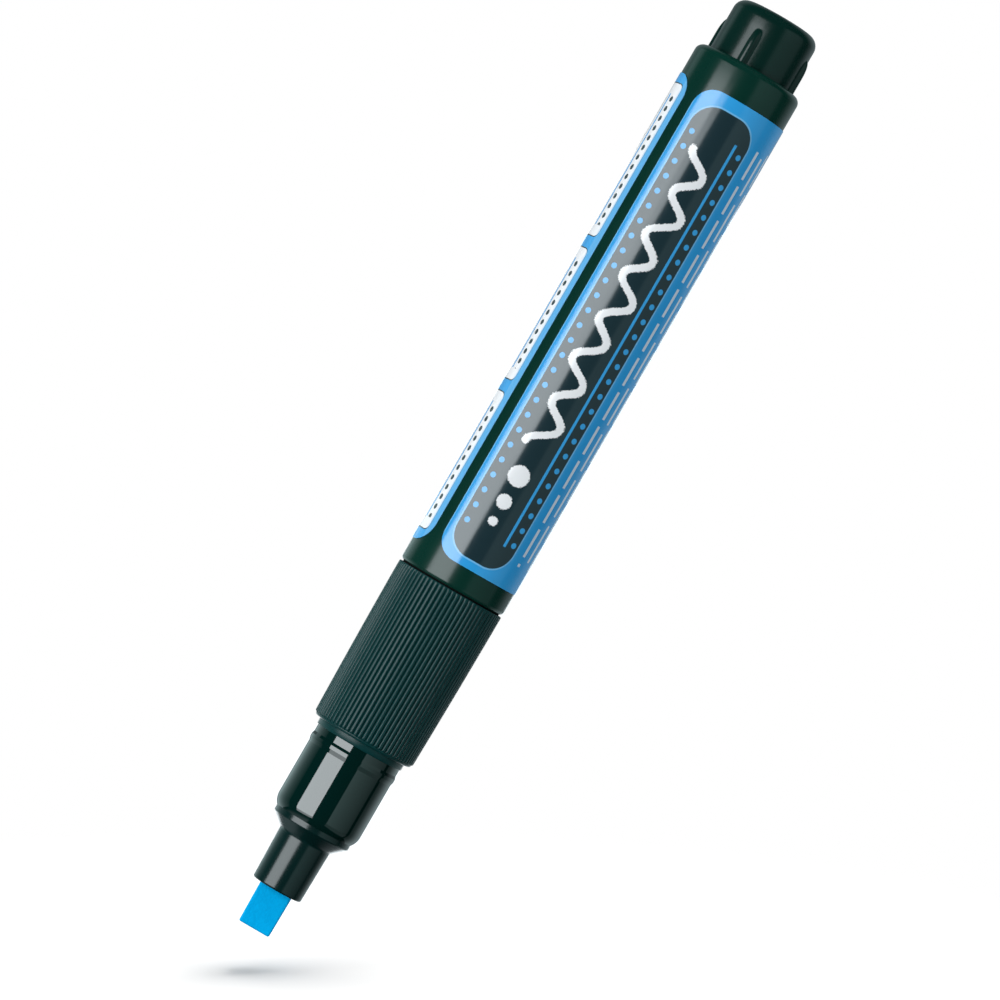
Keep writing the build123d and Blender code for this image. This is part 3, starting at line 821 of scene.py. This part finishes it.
# Floor: a pale disc under the nib, level in the picture, which fades out into the white background
FLOOR_DROP = 5.66 * MM
FLOOR_TILT = math.radians(6)
FLOOR_RADIUS = 130 * MM
FADE_MIDDLE, FADE_WIDTH = 0.7 * FLOOR_RADIUS, 0.5 * FLOOR_RADIUS
FLOOR_COLOUR = (0.92, 0.9, 0.89, 1)
floor_normal = (up * math.cos(FLOOR_TILT) + back * math.sin(FLOOR_TILT)).normalized()
floor_middle = -FLOOR_DROP * up
bpy.ops.object.select_all(action="DESELECT")
bpy.ops.mesh.primitive_circle_add(vertices=96, radius=FLOOR_RADIUS, fill_type="NGON")
floor = bpy.context.object
floor.name = "floor"
floor_turn = floor_normal.to_track_quat("Z", "Y").to_matrix().to_4x4()
floor.matrix_world = Matrix.Translation(floor_middle) @ floor_turn
floor_paint, shader = new_shader("floor_paint")
x, y, z = shader.axes(shader.place())
backside = shader.node("ShaderNodeNewGeometry", output="Backfacing")
cover = distance(x, y).below(FADE_MIDDLE, FADE_WIDTH) * (1 - backside)
paint = shader.node("ShaderNodeBsdfDiffuse", values={"Color": FLOOR_COLOUR})
clear = shader.node("ShaderNodeBsdfTransparent")
faded = shader.node("ShaderNodeMixShader", values=[cover, clear, paint])
shader.node("ShaderNodeOutputMaterial", values=[faded])
floor.data.materials.append(floor_paint)
floor.visible_glossy = floor.visible_diffuse = False
floor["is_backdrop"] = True

# Light: softboxes in front on the left, weak panels in front on the right, rims and fills behind,
# a fill over the button and a lamp that lights the floor alone
LIGHT_DISTANCE = 600 * MM
COOL_WHITE = (0.94, 1.0, 1.03)
PALE_TEAL = (0.75, 1.02, 1.02)
PLAIN_WHITE = (1, 1, 1)


def flat_lamp(name, middle, width, height, towards, upright, radiance, colour, fade, floor_state):
    """A flat lamp of that size, which faces the way given. It fades towards its right-hand edge by the
    share given, and lights the floor alone or all but the floor."""
    lamp_data = bpy.data.lights.new(name, "AREA")
    lamp_data.shape = "RECTANGLE"
    lamp_data.size = width
    lamp_data.size_y = height
    lamp_data.color = colour
    lamp_data.energy = radiance * math.pi * width * height
    lamp_shader = Shader(lamp_data)
    spot = lamp_shader.node("ShaderNodeNewGeometry", output="Parametric")
    strength = 1 - fade * lamp_shader.axes(spot)[0]
    beam = lamp_shader.node("ShaderNodeEmission", values={"Color": WHITE, "Strength": strength})
    lamp_shader.node("ShaderNodeOutputLight", values=[beam])
    lamp = bpy.data.objects.new(name, lamp_data)
    lamp.visible_camera = False
    rear = -towards.normalized()
    sideways = upright.cross(rear).normalized()
    lamp.matrix_world = placed(middle, sideways, rear.cross(sideways), rear)
    bpy.context.scene.collection.objects.link(lamp)
    linked = bpy.data.collections.new(name + "_floor")
    linked.objects.link(floor)
    linked.collection_objects[0].light_linking.link_state = floor_state
    lamp.light_linking.receiver_collection = linked
    return lamp


def softbox(name, first_azimuth, last_azimuth, low, high, radiance, colour=COOL_WHITE, fade=0.0):
    """An upright lamp that spans the azimuths seen from the marker, 0 being the camera's side, and the
    heights in millimetres. It lights all but the floor."""
    def corner(azimuth):
        angle = math.radians(azimuth)
        return Vector((math.sin(angle), -math.cos(angle), 0)) * LIGHT_DISTANCE
    first, last = corner(first_azimuth), corner(last_azimuth)
    middle = (first + last) / 2
    axis = Vector((0, 0, 1))
    centre = middle + axis * (low + high) / 2 * MM
    size = (last - first).length, (high - low) * MM
    return flat_lamp(name, centre, *size, -middle, axis, radiance, colour, fade, "EXCLUDE")


softbox("key_softbox", -61.5, -12.5, -210, 25, 4.6)
softbox("key_softbox_middle", -60, -12.5, 25, 168, 4.6)
softbox("key_softbox_top", -60, -26, 168, 215, 4.6)
softbox("key_softbox_foot", -61.5, -12.5, -330, -210, 2.0)
softbox("fill_panel", 25, 89, -150, 25, 0.48, PALE_TEAL, fade=0.75)
softbox("fill_panel_foot", 25, 92, -330, -150, 0.24, PALE_TEAL, fade=0.3)
softbox("fill_panel_middle", 27, 86, 25, 176, 0.22, PALE_TEAL)
softbox("fill_panel_top", 27, 86, 176, 520, 0.48, PALE_TEAL, fade=0.5)
softbox("rim_panel_left", -152, -88, -330, 8, 0.85, PALE_TEAL, fade=0.95)
softbox("rim_panel_left_grip", -152, -112, 8, 42, 0.55, PALE_TEAL, fade=0.7)
softbox("rim_panel_left_barrel", -152, -112, 42, 60, 1.2, PALE_TEAL, fade=0.7)
softbox("rim_panel_rear", -132, -112, 60, 330, 0.32, PALE_TEAL)
softbox("rim_panel_right", 98, 152, -330, 20, 0.1, PALE_TEAL, fade=-2.6)
softbox("rear_softbox", 160, 200, -330, 150, 1.8)
softbox("rear_fill_right", 100, 158, -330, 330, 1.3).visible_glossy = False
softbox("rear_fill_left", 202, 260, -330, 330, 1.3).visible_glossy = False

TOP_FILL_HEIGHT, TOP_FILL_SIZE, TOP_FILL_RADIANCE = 750 * MM, 800 * MM, 2.0
top_place = Vector((0, 0, TOP_FILL_HEIGHT))
top_fill = flat_lamp(
    "top_fill", top_place, TOP_FILL_SIZE, TOP_FILL_SIZE, -top_place, back, TOP_FILL_RADIANCE, COOL_WHITE,
    fade=0.0, floor_state="EXCLUDE",
)
top_fill.visible_glossy = False

FLOOR_LAMP_DISTANCE, FLOOR_LAMP_SIZE, FLOOR_LAMP_RADIANCE = 1500 * MM, 1100 * MM, 9.3
LAMP_TO_RIGHT, LAMP_TO_REAR = 0.47, 0.05
over = (up + LAMP_TO_RIGHT * right - LAMP_TO_REAR * back).normalized()
floor_lamp_place = floor_middle + over * FLOOR_LAMP_DISTANCE
flat_lamp(
    "floor_lamp", floor_lamp_place, FLOOR_LAMP_SIZE, FLOOR_LAMP_SIZE, -over, back, FLOOR_LAMP_RADIANCE,
    PLAIN_WHITE, fade=0.0, floor_state="INCLUDE",
)

# World: white for the camera, an even dim light on all sides, and in reflections a dark front,
# a glow behind the marker that is stronger on the right, and a patch low on the left
AMBIENT = 0.19
DARK_FRONT = 0.004
GLOW_BEHIND, GLOW_TO_RIGHT = 0.3, 0.1
GLOW_BELOW = 0.36
STUDIO_TINT = (0.84, 1, 1.05, 1)
world = bpy.data.worlds.new("studio")
bpy.context.scene.world = world
studio = Shader(world)
to_right, to_rear, to_top = studio.axes(studio.node("ShaderNodeTexCoord", output="Generated"))
behind = DARK_FRONT + to_rear.above(0.5, 0.5) * (GLOW_BEHIND + GLOW_TO_RIGHT * to_right)
below = to_top.below(-0.75, 0.3) * to_right.below(-0.24, 0.12) * GLOW_BELOW
camera_ray, glossy_ray, clear_ray = (
    studio.node("ShaderNodeLightPath", output=name)
    for name in ("Is Camera Ray", "Is Glossy Ray", "Is Transmission Ray")
)
seen = camera_ray.most(clear_ray)
level = seen + (1 - seen) * (glossy_ray * (behind + below) + (1 - glossy_ray) * AMBIENT)
tint = studio.mix(seen, STUDIO_TINT, WHITE)
background = studio.node("ShaderNodeBackground", values={"Color": tint, "Strength": level})
studio.node("ShaderNodeOutputWorld", values=[background])

low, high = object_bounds()
